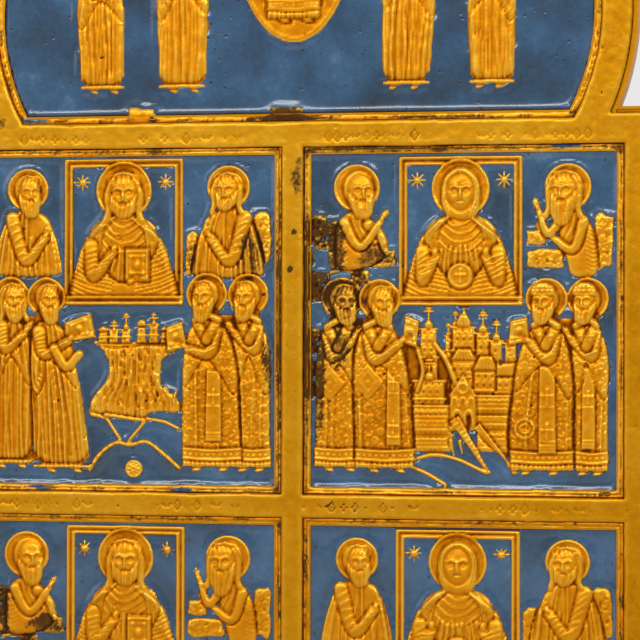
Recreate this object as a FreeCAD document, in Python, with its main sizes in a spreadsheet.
# Folding travel icon: four hinged brass leaves that stand in a zigzag or fold into a flat stack.
# Each leaf is one casting with a keel-arched top, a sunk field in the arch and four fields below it. Figures
# and buildings stand up in low relief from the floor of each field, and blue enamel fills what is left of it.
# Two wire pins join each pair of leaves. The outer two leaves are also sunk and enamelled on the back.
#
# A leaf is modelled in its own frame: x runs across it from its middle, z goes up from its bottom edge, and
# the back face is at y = 0 with the front towards -y. The placement of the leaf stands it in the row.

import FreeCAD, Part
import Sketcher
import math
import os
import re
from types import SimpleNamespace
from FreeCAD import Placement, Rotation, Vector

sizes = {
    # the plate
    "leaf_width": 101.2,
    "leaf_thickness": 3.8,
    "shoulder_height": 110.4,
    "lobe_inset": 1.7,
    "lobe_radius": 37.6,
    "lobe_rise": 14.0,
    "arch_rise": 64.0,
    "flank_radius": 30.0,
    # the flat rails round the fields
    "side_rail": 3.6,
    "middle_rail": 3.0,
    "bottom_rail": 3.6,
    "cross_rail": 3.2,
    "top_rail": 3.5,
    "arch_rail": 5.0,
    "arch_drop": 1.5,
    # the moulding round each field and the line round the arch, as widths and depths
    "groove_width": 0.55,
    "groove_depth": 0.8,
    "ridge_width": 0.6,
    "ridge_depth": 0.45,
    "rim_width": 0.4,
    "rim_groove_width": 0.7,
    "rim_groove_depth": 0.4,
    # depths below the front face, and how far the relief stands proud of the enamel
    "enamel_depth": 1.2,
    "floor_depth": 1.8,
    "halo_rise": 0.06,
    "robe_rise": 0.1,
    "head_rise": 0.18,
    # the sunk panels on the backs of the outer leaves
    "back_side_rail": 18.6,
    "back_end_rail": 9.2,
    "back_panel_depth": 0.6,
    "back_enamel_drop": 0.2,
    "back_cross_width": 3.4,
    "back_cross_margin": 5.0,
    "rosette_margin": 8.0,
    "rosette_ring": 1.6,
    # the hinges
    "knuckle_radius": 2.2,
    "outer_knuckle": 5.0,
    "inner_knuckle": 7.0,
    "knuckle_gap": 0.3,
    "hinge_inset": 22.0,
    "edge_to_axis": 0.35,
    "face_to_axis": 0.3,
    "notch_clearance": 0.3,
    "pin_radius": 0.8,
    "pin_clearance": 0.05,
    "pin_head_radius": 1.3,
    "pin_head_height": 0.6,
    "pin_head_dome": 0.3,
    "overrun": 1.0,
    # half the angle that two leaves are folded by as they stand, in degrees
    "stand_angle": 15.0,
}

doc = FreeCAD.newDocument("folding_icon")
sheet = doc.addObject("Spreadsheet::Sheet", "Sizes")
for row, (name, value) in enumerate(sizes.items(), start=1):
    sheet.set(f"A{row}", name)
    sheet.set(f"B{row}", str(value))
    sheet.setAlias(f"B{row}", name)
doc.recompute()
size = SimpleNamespace(**{name: float(sheet.get(name)) for name in sizes})

# Sizes that follow from the sheet, as formulas for bound objects and as numbers for free shapes
field_width_formula = "(leaf_width - 2 * side_rail - middle_rail) / 2"
field_height_formula = "(shoulder_height - arch_drop - top_rail - cross_rail - bottom_rail) / 2"
moulding_formula = "(groove_width + ridge_width)"
field_width = (size.leaf_width - 2 * size.side_rail - size.middle_rail) / 2
rails_height = size.arch_drop + size.top_rail + size.cross_rail + size.bottom_rail
field_height = (size.shoulder_height - rails_height) / 2
moulding = size.groove_width + size.ridge_width
group_length = 2 * size.outer_knuckle + size.inner_knuckle + 2 * size.knuckle_gap
lobe_centre_formula = "leaf_width / 2 - lobe_inset - lobe_radius"
arch_base_formula = "shoulder_height - arch_drop - arch_rail"
back_width_formula = "(leaf_width - 2 * back_side_rail)"
back_height_formula = "(shoulder_height - 2 * back_end_rail)"

# Where each field's lower left corner is: across the leaf and up it
field_corners = {
    "upper_left": ("-leaf_width / 2 + side_rail", f"bottom_rail + cross_rail + {field_height_formula}"),
    "upper_right": ("middle_rail / 2", f"bottom_rail + cross_rail + {field_height_formula}"),
    "lower_left": ("-leaf_width / 2 + side_rail", "bottom_rail"),
    "lower_right": ("middle_rail / 2", "bottom_rail"),
}
upper_field = size.bottom_rail + size.cross_rail + field_height
field_origins = {
    "upper_left": (-size.leaf_width / 2 + size.side_rail, upper_field),
    "upper_right": (size.middle_rail / 2, upper_field),
    "lower_left": (-size.leaf_width / 2 + size.side_rail, size.bottom_rail),
    "lower_right": (size.middle_rail / 2, size.bottom_rail),
}

# The relief of each field, in shares of its picture's width and height. A figure gives where it stands, its
# height and the way it faces. A bust is a half figure. The others give middle, foot, width and height.
veneration_shares = [
    ("panel", 0.49, 0.54, 0.40, 0.455), ("bust", 0.16, 0.62, 0.36, 1), ("bust", 0.84, 0.62, 0.36, -1),
    ("figure", 0.10, 0.05, 0.585, 1), ("figure", 0.225, 0.05, 0.585, 1),
    ("figure", 0.78, 0.05, 0.585, -1), ("figure", 0.905, 0.05, 0.585, -1), ("town", 0.50, 0.17, 0.34, 0.36),
]
scene_shares = {
    "greeting": [
        ("town", 0.50, 0.16, 0.86, 0.70), ("figure", 0.25, 0.05, 0.74, 1), ("figure", 0.76, 0.05, 0.68, -1),
    ],
    "cave": [
        ("hill", 0.50, 0.05, 0.90, 0.78), ("bust", 0.50, 0.34, 0.36, 0), ("bust", 0.16, 0.62, 0.32, 1),
        ("bust", 0.84, 0.62, 0.32, -1), ("figure", 0.15, 0.05, 0.44, 1), ("figure", 0.86, 0.05, 0.44, -1),
    ],
    "birth": [
        ("town", 0.50, 0.38, 0.90, 0.50), ("table", 0.42, 0.10, 0.60, 0.30), ("bust", 0.36, 0.34, 0.34, 1),
        ("figure", 0.68, 0.22, 0.50, -1), ("figure", 0.88, 0.05, 0.60, -1),
    ],
    "temple": [
        ("town", 0.52, 0.30, 0.84, 0.62), ("table", 0.52, 0.05, 0.20, 0.34), ("figure", 0.12, 0.05, 0.66, 1),
        ("figure", 0.30, 0.05, 0.66, 1), ("figure", 0.74, 0.05, 0.68, -1), ("figure", 0.91, 0.05, 0.62, -1),
    ],
    "meeting": [
        ("town", 0.50, 0.40, 0.70, 0.52), ("table", 0.50, 0.05, 0.18, 0.36), ("figure", 0.14, 0.05, 0.64, 1),
        ("figure", 0.33, 0.05, 0.68, 1), ("figure", 0.68, 0.05, 0.68, -1), ("figure", 0.87, 0.05, 0.64, -1),
    ],
    "river": [
        ("hill", 0.14, 0.04, 0.30, 0.72), ("hill", 0.86, 0.04, 0.30, 0.80), ("figure", 0.50, 0.08, 0.66, 0),
        ("figure", 0.20, 0.14, 0.62, 1), ("figure", 0.80, 0.30, 0.52, -1), ("figure", 0.90, 0.08, 0.50, -1),
    ],
    "mountain": [
        ("hill", 0.50, 0.04, 0.92, 0.48), ("mandorla", 0.50, 0.44, 0.34, 0.52),
        ("figure", 0.50, 0.50, 0.42, 0),
        ("figure", 0.18, 0.46, 0.42, 1), ("figure", 0.82, 0.46, 0.42, -1), ("bust", 0.20, 0.06, 0.30, 1),
        ("bust", 0.50, 0.06, 0.28, 0), ("bust", 0.80, 0.06, 0.30, -1),
    ],
    "gate": [
        ("town", 0.82, 0.34, 0.32, 0.58), ("hill", 0.20, 0.40, 0.36, 0.48), ("figure", 0.46, 0.10, 0.64, 1),
        ("figure", 0.14, 0.05, 0.58, 1), ("figure", 0.72, 0.05, 0.56, -1), ("figure", 0.90, 0.05, 0.60, -1),
    ],
    "rising": [
        ("hill", 0.50, 0.62, 0.90, 0.28), ("mandorla", 0.50, 0.17, 0.36, 0.77),
        ("figure", 0.50, 0.24, 0.62, 0),
        ("figure", 0.16, 0.24, 0.52, 1), ("figure", 0.84, 0.24, 0.52, -1), ("bust", 0.27, 0.06, 0.30, 1),
        ("bust", 0.73, 0.06, 0.30, -1), ("cross", 0.50, 0.04, 0.16, 0.16),
    ],
    "ascent": [
        ("mandorla", 0.50, 0.64, 0.28, 0.32), ("bust", 0.50, 0.68, 0.26, 0), ("bust", 0.22, 0.66, 0.26, 1),
        ("bust", 0.78, 0.66, 0.26, -1), ("figure", 0.10, 0.05, 0.54, 1), ("figure", 0.27, 0.05, 0.56, 1),
        ("figure", 0.50, 0.05, 0.58, 0), ("figure", 0.73, 0.05, 0.56, -1), ("figure", 0.90, 0.05, 0.54, -1),
    ],
    "supper": [
        ("town", 0.30, 0.60, 0.34, 0.34), ("hill", 0.82, 0.60, 0.26, 0.30), ("figure", 0.20, 0.08, 0.60, 1),
        ("figure", 0.50, 0.26, 0.60, 0), ("figure", 0.80, 0.08, 0.60, -1), ("table", 0.50, 0.08, 0.36, 0.30),
    ],
    "sleep": [
        ("town", 0.50, 0.66, 0.92, 0.28), ("mandorla", 0.50, 0.34, 0.26, 0.58),
        ("figure", 0.50, 0.36, 0.50, 0),
        ("figure", 0.12, 0.20, 0.52, 1), ("figure", 0.28, 0.24, 0.50, 1), ("figure", 0.72, 0.24, 0.50, -1),
        ("figure", 0.88, 0.20, 0.52, -1), ("table", 0.50, 0.06, 0.72, 0.28),
    ],
    "veneration": veneration_shares,
    "veneration_wide": [
        ("panel", 0.51, 0.54, 0.39, 0.455), ("bust", 0.19, 0.62, 0.36, 1), ("bust", 0.855, 0.62, 0.36, -1),
        ("figure", 0.137, 0.05, 0.585, 1), ("figure", 0.252, 0.05, 0.585, 1),
        ("figure", 0.778, 0.05, 0.585, -1), ("figure", 0.912, 0.05, 0.585, -1),
        ("town", 0.55, 0.26, 0.30, 0.26),
    ],
    "calvary": [
        ("town", 0.50, 0.06, 0.70, 0.22), ("cross", 0.50, 0.10, 0.32, 0.76), ("figure", 0.20, 0.06, 0.50, 1),
        ("figure", 0.33, 0.06, 0.54, 1), ("figure", 0.67, 0.06, 0.54, -1), ("figure", 0.80, 0.06, 0.50, -1),
    ],
    "angels": [
        ("figure", 0.24, 0.08, 0.56, 1), ("figure", 0.50, 0.22, 0.60, 0), ("figure", 0.76, 0.08, 0.56, -1),
        ("table", 0.50, 0.08, 0.30, 0.24),
    ],
    "raising": [
        ("town", 0.50, 0.40, 0.52, 0.42), ("cross", 0.50, 0.08, 0.18, 0.56), ("figure", 0.18, 0.06, 0.46, 1),
        ("figure", 0.32, 0.06, 0.52, 1), ("figure", 0.68, 0.06, 0.52, -1), ("figure", 0.82, 0.06, 0.46, -1),
    ],
    "praise": [
        ("mandorla", 0.50, 0.18, 0.22, 0.68), ("figure", 0.50, 0.24, 0.56, 0),
        ("figure", 0.17, 0.06, 0.48, 1),
        ("figure", 0.31, 0.06, 0.52, 1), ("figure", 0.69, 0.06, 0.52, -1), ("figure", 0.83, 0.06, 0.48, -1),
    ],
}
leaf_scenes = {
    1: {"top": "calvary", "upper_left": "greeting", "upper_right": "cave", "lower_left": "birth",
        "lower_right": "temple"},
    2: {"top": "angels", "upper_left": "meeting", "upper_right": "river", "lower_left": "mountain",
        "lower_right": "gate"},
    3: {"top": "raising", "upper_left": "rising", "upper_right": "ascent", "lower_left": "supper",
        "lower_right": "sleep"},
    4: {"top": "praise", "upper_left": "veneration_wide", "upper_right": "veneration",
        "lower_left": "veneration", "lower_right": "veneration_wide"},
}

# A scene keeps its proportions in a field of any shape: these are its width over its height
field_picture_share = 0.92
top_picture_share = 1.56

# Shares of a figure's height that its parts take
halo_share = 0.13
head_share = 0.075
shoulder_share = 0.105
waist_share = 0.125
waist_height_share = 0.7
hem_share = 0.115
bust_halo_share = 0.2
bust_head_share = 0.1
bust_body_share = 0.3
bust_shoulder_share = 0.22
panel_border_share = 0.06
roof_share = 0.35
wall_share = 0.5
hill_shoulder_share = 0.75
tower_width_shares = (0.24, 0.2, 0.28, 0.2)
tower_height_shares = (0.7, 0.95, 0.8, 1.0)
tower_gap_share = 0.065
cross_bar_share = 0.14
cross_arm_share = 0.75

# The backs: each bar of the cross with its height and width, each step of its mount, the slanted foot rest,
# and the rosette's boss and petals
back_bar_shares = ((0.86, 0.24), (0.66, 0.56))
back_step_shares = ((0.0, 0.52), (0.05, 0.40), (0.10, 0.28))
foot_rest_share = 0.32
foot_rest_half_share = 0.16
foot_rest_slant_share = 0.05
boss_share = 0.2
petal_share = 0.18
petal_reach_share = 0.56
rosette_petals = 8


def formula(text):
    """The sheet's cells stand in a bound formula under the sheet's name."""
    def named(word):
        return f"Sizes.{word.group()}" if word.group() in sizes else word.group()

    return re.sub(r"[a-z_]+", named, text)


def place(item, x="0", y="0", z="0"):
    item.setExpression("Placement.Base.x", formula(x))
    item.setExpression("Placement.Base.y", formula(y))
    item.setExpression("Placement.Base.z", formula(z))
    return item


def box(name, width, depth, height, x, y, z):
    item = doc.addObject("Part::Box", name)
    item.setExpression("Length", formula(width))
    item.setExpression("Width", formula(depth))
    item.setExpression("Height", formula(height))
    return place(item, x, y, z)


def cylinder(name, radius, height, x, y, z):
    item = doc.addObject("Part::Cylinder", name)
    item.setExpression("Radius", formula(radius))
    item.setExpression("Height", formula(height))
    return place(item, x, y, z)


def cut(name, base, tool):
    item = doc.addObject("Part::Cut", name)
    item.Base = base
    item.Tool = tool
    return item


def fuse(name, items):
    item = doc.addObject("Part::MultiFuse", name)
    item.Shapes = items
    item.Refine = True
    return item


def free_shape(name, shape):
    item = doc.addObject("Part::Feature", name)
    item.Shape = shape
    return item


# The keel arch: two round lobes, and hollow flanks that sweep up from them to the point
def arch_points():
    lobe = Vector(size.leaf_width / 2 - size.lobe_inset - size.lobe_radius,
                  size.shoulder_height + size.lobe_rise)
    tip = Vector(0, size.shoulder_height + size.arch_rise)
    reach = tip - lobe
    along = ((size.lobe_radius + size.flank_radius) ** 2 - size.flank_radius ** 2 + reach.Length ** 2)
    along /= 2 * reach.Length
    aside = math.sqrt((size.lobe_radius + size.flank_radius) ** 2 - along ** 2)
    up = Vector(reach).normalize()
    flank = lobe + up * along + Vector(up.y, -up.x) * aside
    meeting = lobe + (flank - lobe) * (size.lobe_radius / (size.lobe_radius + size.flank_radius))
    base = size.shoulder_height - size.arch_drop - size.arch_rail
    foot = Vector(lobe.x + math.sqrt(size.lobe_radius ** 2 - (base - lobe.y) ** 2), base)
    return lobe, flank, meeting, tip, foot


def arc(centre, start, end, radius):
    """An arc that runs anticlockwise from one point to the other."""
    circle = Part.Circle(centre, Vector(0, 0, 1), radius)
    angles = [math.atan2(p.y - centre.y, p.x - centre.x) for p in (start, end)]
    if angles[1] < angles[0]:
        angles[1] += 2 * math.pi
    return Part.ArcOfCircle(circle, angles[0], angles[1])


def mirrored(point):
    return Vector(-point.x, point.y)


def arch_sketch():
    lobe, flank, meeting, tip, foot = arch_points()
    sketch = doc.addObject("Sketcher::SketchObject", "arch_outline")
    sketch.Placement = Placement(Vector(), Rotation(Vector(1, 0, 0), 90))
    base = sketch.addGeometry(Part.LineSegment(mirrored(foot), foot))
    right_lobe = sketch.addGeometry(arc(lobe, foot, meeting, size.lobe_radius))
    right_flank = sketch.addGeometry(arc(flank, tip, meeting, size.flank_radius))
    left_flank = sketch.addGeometry(arc(mirrored(flank), mirrored(meeting), tip, size.flank_radius))
    left_lobe = sketch.addGeometry(arc(mirrored(lobe), mirrored(meeting), mirrored(foot), size.lobe_radius))

    def constrain(*terms):
        return sketch.addConstraint(Sketcher.Constraint(*terms))

    start, end, centre, origin, upright = 1, 2, 3, -1, -2
    constrain("Coincident", base, end, right_lobe, start)
    constrain("Tangent", right_lobe, end, right_flank, end)
    constrain("Coincident", right_flank, start, left_flank, end)
    constrain("Tangent", left_flank, start, left_lobe, start)
    constrain("Coincident", left_lobe, end, base, start)
    constrain("Horizontal", base)
    constrain("PointOnObject", right_flank, start, upright)
    constrain("Equal", right_lobe, left_lobe)
    constrain("Equal", right_flank, left_flank)
    constrain("Symmetric", right_lobe, centre, left_lobe, centre, upright)
    driven = [
        (constrain("DistanceY", origin, start, base, start, foot.y), arch_base_formula),
        (constrain("Radius", right_lobe, size.lobe_radius), "lobe_radius"),
        (constrain("DistanceX", origin, start, right_lobe, centre, lobe.x), lobe_centre_formula),
        (constrain("DistanceY", origin, start, right_lobe, centre, lobe.y), "shoulder_height + lobe_rise"),
        (constrain("Radius", right_flank, size.flank_radius), "flank_radius"),
        (constrain("DistanceY", origin, start, right_flank, start, tip.y), "shoulder_height + arch_rise"),
    ]
    for index, text in driven:
        sketch.setExpression(f"Constraints[{index}]", formula(text))
    return sketch


def arch_slab(name, outline, inset, depth, lift):
    """A slab of the arch's outline, drawn in by the inset, that starts lift in front of the back face."""
    if inset:
        shrunk = doc.addObject("Part::Offset2D", f"{name}_outline")
        shrunk.Source = outline
        shrunk.Join = "Intersection"
        shrunk.setExpression("Value", formula(f"-({inset})"))
        outline = shrunk
    slab = doc.addObject("Part::Extrusion", name)
    slab.Base = outline
    slab.DirMode = "Custom"
    slab.Dir = Vector(0, -1, 0)
    slab.Solid = True
    slab.setExpression("LengthFwd", formula(depth))
    return place(slab, y=f"-({lift})")


# The plain leaf, which all four castings start from
def sunk_field(name, corner):
    """What is cut for one field: a shallow step, a groove round its edge and the deep floor."""
    x, z = corner
    parts = []
    for part, inset, depth in (("step", "0", "ridge_depth"), ("groove", "0", "groove_depth"),
                               ("floor", moulding_formula, "floor_depth")):
        parts.append(box(f"{name}_{part}", f"{field_width_formula} - 2 * {inset}", f"{depth} + overrun",
                         f"{field_height_formula} - 2 * {inset}", f"{x} + {inset}",
                         "-leaf_thickness - overrun", f"{z} + {inset}"))
    ridge = box(f"{name}_ridge", f"{field_width_formula} - 2 * groove_width", "groove_depth + overrun",
                f"{field_height_formula} - 2 * groove_width", f"{x} + groove_width",
                "-leaf_thickness - overrun", f"{z} + groove_width")
    parts[1] = cut(f"{name}_groove_ring", parts[1], ridge)
    return parts


def plain_leaf(outline):
    plate = fuse("plate", [
        box("plate_body", "leaf_width", "leaf_thickness", "shoulder_height", "-leaf_width / 2",
            "-leaf_thickness", "0"),
        arch_slab("plate_arch", outline, "", "leaf_thickness", "0"),
    ])
    tools = []
    for name, corner in field_corners.items():
        tools += sunk_field(name, corner)
    tools.append(arch_slab("top_step", outline, "arch_rail", "ridge_depth + overrun",
                           "leaf_thickness - ridge_depth"))
    groove = arch_slab("top_groove", outline, "arch_rail", "groove_depth + overrun",
                       "leaf_thickness - groove_depth")
    ridge = arch_slab("top_ridge", outline, "arch_rail + groove_width", "groove_depth + overrun",
                      "leaf_thickness - groove_depth")
    tools.append(cut("top_groove_ring", groove, ridge))
    tools.append(arch_slab("top_floor", outline, f"arch_rail + {moulding_formula}", "floor_depth + overrun",
                           "leaf_thickness - floor_depth"))
    # the sunk line round the arch, kept above the shoulders, and its run along each shoulder
    rim = arch_slab("rim_line", outline, "rim_width", "rim_groove_depth + overrun",
                    "leaf_thickness - rim_groove_depth")
    rim_core = arch_slab("rim_core", outline, "rim_width + rim_groove_width", "rim_groove_depth + overrun",
                         "leaf_thickness - rim_groove_depth")
    below = box("below_shoulders", "leaf_width", "leaf_thickness + 2 * overrun",
                "shoulder_height - rim_width - rim_groove_width", "-leaf_width / 2",
                "-leaf_thickness - overrun", "0")
    tools.append(cut("rim_line_above", cut("rim_line_ring", rim, rim_core), below))
    lobe, foot = arch_points()[0], size.shoulder_height
    neck = lobe.x + math.sqrt(size.lobe_radius ** 2 - (foot - lobe.y) ** 2)
    run_depth = size.rim_groove_depth + size.overrun
    for side in (-1, 1):
        start = neck - size.rim_width
        run = Part.makeBox(size.leaf_width / 2 - start, run_depth, size.rim_groove_width)
        run.translate(Vector(start, -size.leaf_thickness - size.overrun,
                             size.shoulder_height - size.rim_width - size.rim_groove_width))
        if side < 0:
            run = run.mirror(Vector(), Vector(1, 0, 0))
        tools.append(free_shape(f"shoulder_line_{'right' if side > 0 else 'left'}", run))
    return cut("plain_leaf", plate, fuse("leaf_cuts", tools))


# Low relief, from the floor of a field up to a rise above the enamel
def raised(wire, rise):
    face = Part.Face(wire)
    face.translate(Vector(0, size.floor_depth - size.leaf_thickness, 0))
    return face.extrude(Vector(0, size.enamel_depth - size.floor_depth - rise, 0))


def polygon(points):
    corners = [Vector(x, 0, z) for x, z in points]
    return Part.makePolygon(corners + corners[:1])


def disc(x, z, radius, rise):
    return raised(Part.Wire(Part.makeCircle(radius, Vector(x, 0, z), Vector(0, -1, 0))), rise)


def oblong(x, z, width, height):
    half = width / 2
    return polygon([(x - half, z), (x + half, z), (x + half, z + height), (x - half, z + height)])


def rectangle(x, z, width, height):
    return raised(oblong(x, z, width, height), size.robe_rise)


def figure(x, z, height, facing):
    """A robed figure: halo, head, and a robe that widens at the elbows and again at the hem."""
    halo = halo_share * height
    head_z = z + height - halo
    lean = facing * head_share * height / 2
    shoulder_z = head_z - halo
    waist_z = z + (shoulder_z - z) * waist_height_share
    robe = [(x - hem_share * height, z), (x + hem_share * height, z), (x + waist_share * height, waist_z),
            (x + shoulder_share * height, shoulder_z), (x, head_z), (x - shoulder_share * height, shoulder_z),
            (x - waist_share * height, waist_z)]
    return [raised(polygon(robe), size.robe_rise), disc(x, head_z, halo, size.halo_rise),
            disc(x + lean, head_z, head_share * height, size.head_rise)]


def bust(x, z, height, facing):
    """A half figure with its halo."""
    halo = bust_halo_share * height
    head_z = z + height - halo
    foot, shoulder = bust_body_share * height, bust_shoulder_share * height
    shoulder_z = head_z - halo
    body = [(x - foot, z), (x + foot, z), (x + shoulder, shoulder_z), (x, head_z), (x - shoulder, shoulder_z)]
    lean = facing * bust_head_share * height / 2
    return [raised(polygon(body), size.robe_rise), disc(x, head_z, halo, size.halo_rise),
            disc(x + lean, head_z, bust_head_share * height, size.head_rise)]


def panel(x, z, width, height):
    """A framed icon within the field, with a half figure in it."""
    border = panel_border_share * width
    outer = rectangle(x, z, width, height)
    inner = rectangle(x, z + border, width - 2 * border, height - 2 * border)
    return [outer.cut(inner)] + bust(x, z + border / 2, height - border * 2, 0)


def tower(x, z, width, height):
    eaves = z + height * (1 - roof_share)
    half = width / 2
    walls = [(x - half, z), (x + half, z), (x + half, eaves), (x, z + height), (x - half, eaves)]
    return raised(polygon(walls), size.robe_rise)


def town(x, z, width, height):
    parts = [rectangle(x, z, width, height * wall_share)]
    left = x - width / 2
    for width_share, height_share in zip(tower_width_shares, tower_height_shares):
        span = width_share * width
        parts.append(tower(left + span / 2, z, span, height_share * height))
        left += span * (1 + tower_gap_share)
    return parts


def hill(x, z, width, height):
    half, shoulder_z = width / 2, z + height * hill_shoulder_share
    return [raised(polygon([(x - half, z), (x + half, z), (x + half / 2, shoulder_z), (x, z + height),
                            (x - half / 2, shoulder_z)]), size.halo_rise)]


def table(x, z, width, height):
    return [rectangle(x, z, width, height)]


def mandorla(x, z, width, height):
    """A pointed oval of two arcs."""
    top, bottom = Vector(x, 0, z + height), Vector(x, 0, z)
    right, left = Vector(x + width / 2, 0, z + height / 2), Vector(x - width / 2, 0, z + height / 2)
    edges = [Part.Arc(bottom, right, top).toShape(), Part.Arc(top, left, bottom).toShape()]
    return [raised(Part.Wire(edges), size.halo_rise)]


def cross(x, z, width, height):
    bar = cross_bar_share * width
    return [rectangle(x, z, bar, height), rectangle(x, z + height * cross_arm_share, width, bar)]


people = {"figure": figure, "bust": bust}
things = {"panel": panel, "town": town, "hill": hill, "table": table, "mandorla": mandorla, "cross": cross}


def relief(scene, x, z, width, height, picture_share):
    """All that stands up from the floor of one field, as one shape, in the middle of that floor."""
    picture_width = min(width, height * picture_share)
    picture_height = picture_width / picture_share
    x += (width - picture_width) / 2
    z += (height - picture_height) / 2
    solids = []
    for form, across, foot, *rest in scene_shares[scene]:
        at_x, at_z = x + across * picture_width, z + foot * picture_height
        if form in people:
            solids += people[form](at_x, at_z, rest[0] * picture_height, rest[1])
        else:
            solids += things[form](at_x, at_z, rest[0] * picture_width, rest[1] * picture_height)
    return solids[0].multiFuse(solids[1:]).removeSplitter()


def field_blank(name, corner):
    """The enamel of a square field before the relief is cut from it."""
    x, z = corner
    return box(name, f"{field_width_formula} - 2 * {moulding_formula}", "floor_depth - enamel_depth",
               f"{field_height_formula} - 2 * {moulding_formula}", f"{x} + {moulding_formula}",
               "-leaf_thickness + enamel_depth", f"{z} + {moulding_formula}")


# The sunk and enamelled panels on the backs of the outer leaves
def back_slab(name, depth):
    return box(name, back_width_formula, depth, back_height_formula, f"-{back_width_formula} / 2",
               "-back_panel_depth", "back_end_rail")


def back_solid(wire):
    face = Part.Face(wire)
    face.translate(Vector(0, -size.back_panel_depth, 0))
    return face.extrude(Vector(0, size.back_panel_depth, 0))


def back_cross():
    """An eight-pointed cross on steps: upright, two level bars and a slanted foot rest."""
    bottom = size.back_end_rail + size.back_cross_margin
    height, bar = size.shoulder_height - 2 * bottom, size.back_cross_width
    solids = [back_solid(oblong(0, bottom, bar, height))]
    for up, across in back_bar_shares + back_step_shares:
        solids.append(back_solid(oblong(0, bottom + up * height, across * height, bar)))
    half, slant = foot_rest_half_share * height, foot_rest_slant_share * height
    z = bottom + foot_rest_share * height
    solids.append(back_solid(polygon([(-half, z - slant), (half, z + slant), (half, z + slant + bar),
                                      (-half, z - slant + bar)])))
    return solids[0].multiFuse(solids[1:]).removeSplitter()


def back_rosette():
    """A ring with petals about a round boss."""
    middle = size.shoulder_height / 2
    radius = size.leaf_width / 2 - size.back_side_rail - size.rosette_margin

    def boss(x, z, reach):
        return back_solid(Part.Wire(Part.makeCircle(reach, Vector(x, 0, z), Vector(0, -1, 0))))

    ring = boss(0, middle, radius).cut(boss(0, middle, radius - size.rosette_ring))
    solids = [boss(0, middle, boss_share * radius)]
    for step in range(rosette_petals):
        angle, reach = 2 * math.pi * step / rosette_petals, petal_reach_share * radius
        solids.append(boss(reach * math.cos(angle), middle + reach * math.sin(angle), petal_share * radius))
    return ring.multiFuse(solids).removeSplitter()


# Hinges. Each leaf names the side, the face that the axis lies over, and whether it holds the outer knuckles.
leaf_hinges = {
    1: [("right", "front", "inner")],
    2: [("left", "front", "outer"), ("right", "back", "outer")],
    3: [("left", "back", "inner"), ("right", "front", "outer")],
    4: [("left", "front", "inner")],
}
side_sign = {"left": "-", "right": ""}
axis_depth = {"front": "-leaf_thickness - face_to_axis", "back": "face_to_axis"}
group_formula = "(2 * outer_knuckle + inner_knuckle + 2 * knuckle_gap)"
group_feet = {"lower": f"hinge_inset - {group_formula} / 2",
              "upper": f"shoulder_height - hinge_inset - {group_formula} / 2"}
group_middles = {"lower": size.hinge_inset, "upper": size.shoulder_height - size.hinge_inset}
head_room = "(pin_head_height + notch_clearance)"


def hinge_parts(leaf, side, face, role):
    """The knuckles that this leaf holds on one side, and what is cut for the other leaf and the pins."""
    x, y = f"{side_sign[side]}(leaf_width / 2 + edge_to_axis)", axis_depth[face]
    knuckles, cleared = [], []
    for group, foot in group_feet.items():
        name = f"leaf_{leaf}_{side}_{group}"
        inner_z = f"{foot} + outer_knuckle + knuckle_gap"
        last_z = f"{inner_z} + inner_knuckle + knuckle_gap"
        if role == "inner":
            room = f"outer_knuckle + knuckle_gap + {head_room}"
            knuckles.append(cylinder(f"{name}_knuckle", "knuckle_radius", "inner_knuckle", x, y, inner_z))
            for part, z in (("lower", f"{foot} - {head_room}"), ("upper", f"{last_z} - knuckle_gap")):
                cleared.append(cylinder(f"{name}_{part}_notch", "knuckle_radius + notch_clearance", room,
                                        x, y, z))
        else:
            for part, z in (("first", foot), ("last", last_z)):
                knuckles.append(cylinder(f"{name}_{part}_knuckle", "knuckle_radius", "outer_knuckle",
                                         x, y, z))
            cleared.append(cylinder(f"{name}_middle_notch", "knuckle_radius + notch_clearance",
                                    "inner_knuckle + 2 * knuckle_gap", x, y, f"{inner_z} - knuckle_gap"))
            for part, z in (("lower", f"{foot} - {head_room}"), ("upper", f"{last_z} + outer_knuckle")):
                cleared.append(cylinder(f"{name}_{part}_head_room", "pin_head_radius + notch_clearance",
                                        head_room, x, y, z))
        cleared.append(cylinder(f"{name}_bore", "pin_radius + pin_clearance", group_formula, x, y, foot))
    return knuckles, cleared


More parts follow.
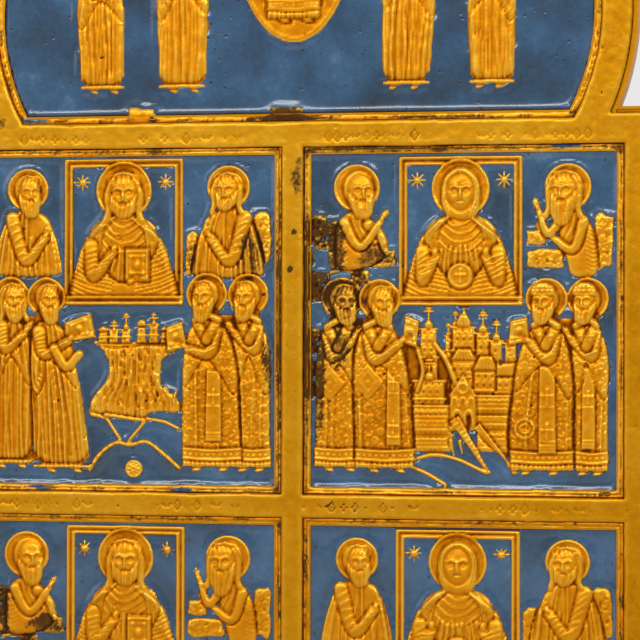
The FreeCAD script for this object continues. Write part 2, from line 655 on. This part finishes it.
def pin(name):
    """A wire pin with both ends peened into low domed heads, turned about its own length."""
    body = doc.addObject("PartDesign::Body", name)
    plane = [item for item in body.Origin.OriginFeatures if item.Role == "XZ_Plane"][0]
    sketch = body.newObject("Sketcher::SketchObject", f"{name}_profile")
    sketch.AttachmentSupport = [(plane, "")]
    sketch.MapMode = "FlatFace"
    stem, head, dome = size.pin_radius, size.pin_head_radius, size.pin_head_radius - size.pin_head_dome
    low, high = -size.pin_head_height, group_length + size.pin_head_height
    low_text, high_text = "-pin_head_height", f"{group_formula} + pin_head_height"
    dome_text = "pin_head_radius - pin_head_dome"
    profile = [
        (0, low, "0", low_text),
        (dome, low, dome_text, low_text),
        (head, low + size.pin_head_dome, "pin_head_radius", f"{low_text} + pin_head_dome"),
        (head, 0, "pin_head_radius", "0"),
        (stem, 0, "pin_radius", "0"),
        (stem, group_length, "pin_radius", group_formula),
        (head, group_length, "pin_head_radius", group_formula),
        (head, high - size.pin_head_dome, "pin_head_radius", f"{high_text} - pin_head_dome"),
        (dome, high, dome_text, high_text),
        (0, high, "0", high_text),
    ]
    points = [Vector(x, z) for x, z, *texts in profile]
    for first, second in zip(points, points[1:] + points[:1]):
        sketch.addGeometry(Part.LineSegment(first, second))
    for line in range(len(points)):
        sketch.addConstraint(Sketcher.Constraint("Coincident", line, 2, (line + 1) % len(points), 1))
    for line, (x, z, x_text, z_text) in enumerate(profile):
        for kind, value, text, axis in (("DistanceX", x, x_text, -2), ("DistanceY", z, z_text, -1)):
            if text == "0":
                sketch.addConstraint(Sketcher.Constraint("PointOnObject", line, 1, axis))
            else:
                index = sketch.addConstraint(Sketcher.Constraint(kind, -1, 1, line, 1, value))
                sketch.setExpression(f"Constraints[{index}]", formula(text))
    turned = body.newObject("PartDesign::Revolution", f"{name}_turned")
    turned.Profile = sketch
    turned.ReferenceAxis = (sketch, ["V_Axis"])
    turned.Angle = 360
    body.Tip = turned
    return body


# Where each leaf stands: its frame is found from its left neighbour's by putting their hinge axes together
turn_of = {1: 1, 2: -1, 3: 1, 4: -1}
hinge_faces = {(1, 2): "front", (2, 3): "back", (3, 4): "front"}
pin_holders = {(1, 2): (2, "left"), (2, 3): (2, "right"), (3, 4): (3, "right")}


def axis_point(side, face, z=0):
    x = size.leaf_width / 2 + size.edge_to_axis
    y = -size.leaf_thickness - size.face_to_axis if face == "front" else size.face_to_axis
    return Vector(x if side == "right" else -x, y, z)


def leaf_placements():
    """The row's middle comes to the origin, halfway between its front and back hinges."""
    turns = {number: Rotation(Vector(0, 0, 1), turn * size.stand_angle) for number, turn in turn_of.items()}
    places, axes = {1: Placement(Vector(), turns[1])}, {}
    for (left, right), face in hinge_faces.items():
        axes[(left, right)] = places[left].multVec(axis_point("right", face))
        places[right] = Placement(axes[(left, right)] - turns[right].multVec(axis_point("left", face)),
                                  turns[right])
    middle = Vector(axes[(2, 3)].x, (axes[(1, 2)].y + axes[(2, 3)].y) / 2, 0)
    shift = Placement(middle * -1, Rotation())
    axes = {pair: axis - middle for pair, axis in axes.items()}
    return {number: shift.multiply(place) for number, place in places.items()}, axes


def casting(number, leaf, reliefs, backing):
    """One leaf's casting: the plain leaf with its relief and knuckles, less what is cut from them."""
    knuckles, hollows = [], list(backing)
    for side, face, role in leaf_hinges[number]:
        held, cleared = hinge_parts(number, side, face, role)
        knuckles += held
        hollows += cleared
    body = fuse(f"leaf_{number}_raised", [leaf] + reliefs + knuckles)
    return cut(f"leaf_{number}_casting", body, fuse(f"leaf_{number}_hollows", hollows))


def leaf_pieces(number, outline, leaf):
    """All the pieces of one leaf, in the leaf's own frame."""
    arch_floor = doc.getObject("top_floor").Shape.BoundBox
    reliefs, enamels = [], []
    for field, scene in leaf_scenes[number].items():
        if field == "top":
            corner, spread = (arch_floor.XMin, arch_floor.ZMin), (arch_floor.XLength, arch_floor.ZLength)
            picture_share = top_picture_share
            blank = arch_slab(f"leaf_{number}_top_blank", outline, f"arch_rail + {moulding_formula}",
                              "floor_depth - enamel_depth", "leaf_thickness - floor_depth")
        else:
            corner = [value + moulding for value in field_origins[field]]
            spread = (field_width - 2 * moulding, field_height - 2 * moulding)
            picture_share = field_picture_share
            blank = field_blank(f"leaf_{number}_{field}_blank", field_corners[field])
        scene_shape = relief(scene, *corner, *spread, picture_share)
        raised_work = free_shape(f"leaf_{number}_{field}_relief", scene_shape)
        reliefs.append(raised_work)
        enamels.append(cut(f"leaf_{number}_enamel_{field}", blank, raised_work))
    backing = []
    if number in back_works:
        work = free_shape(f"leaf_{number}_back_work", back_works[number]())
        sinking = back_slab(f"leaf_{number}_sinking", "back_panel_depth + overrun")
        backing = [cut(f"leaf_{number}_back_cut", sinking, work)]
        fill = back_slab(f"leaf_{number}_back_fill", "back_panel_depth - back_enamel_drop")
        enamels.append(cut(f"leaf_{number}_enamel_back", fill, work))
    return [casting(number, leaf, reliefs, backing)] + enamels


places, axes = leaf_placements()
pins = []
for (left, right), face in hinge_faces.items():
    holder, side = pin_holders[(left, right)]
    for group, middle in group_middles.items():
        wire = pin(f"pin_{left}{right}_{group}")
        foot = axis_point(side, face, middle - group_length / 2)
        wire.Placement = places[holder].multiply(Placement(foot, Rotation()))
        pins.append(wire)

back_works = {1: back_cross, 4: back_rosette}
outline = arch_sketch()
leaf = plain_leaf(outline)
doc.recompute()
nodes = []
for number in leaf_scenes:
    for piece in leaf_pieces(number, outline, leaf):
        piece.Placement = places[number]
        nodes.append(piece)
doc.recompute()
nodes += pins

failed = [item.Name for item in doc.Objects if {"Invalid", "Error"} & set(item.State)]
if failed:
    raise RuntimeError(f"these objects failed: {failed}")
os.makedirs("parts", exist_ok=True)
for node in nodes:
    if node.Shape.isNull() or not node.Shape.isValid():
        raise RuntimeError(f"{node.Label} has no valid shape")
    node.Shape.exportStep(f"parts/{node.Label}.step")
    print(node.Label, len(node.Shape.Solids), round(node.Shape.Volume, 1))
for (left, right), axis in axes.items():
    print(f"hinge {left}{right} axis at x {axis.x:.4f} y {axis.y:.4f}")
whole = Part.makeCompound([node.Shape for node in nodes]).optimalBoundingBox()
print("bounds", whole.XMin, whole.XMax, whole.YMin, whole.YMax, whole.ZMin, whole.ZMax)
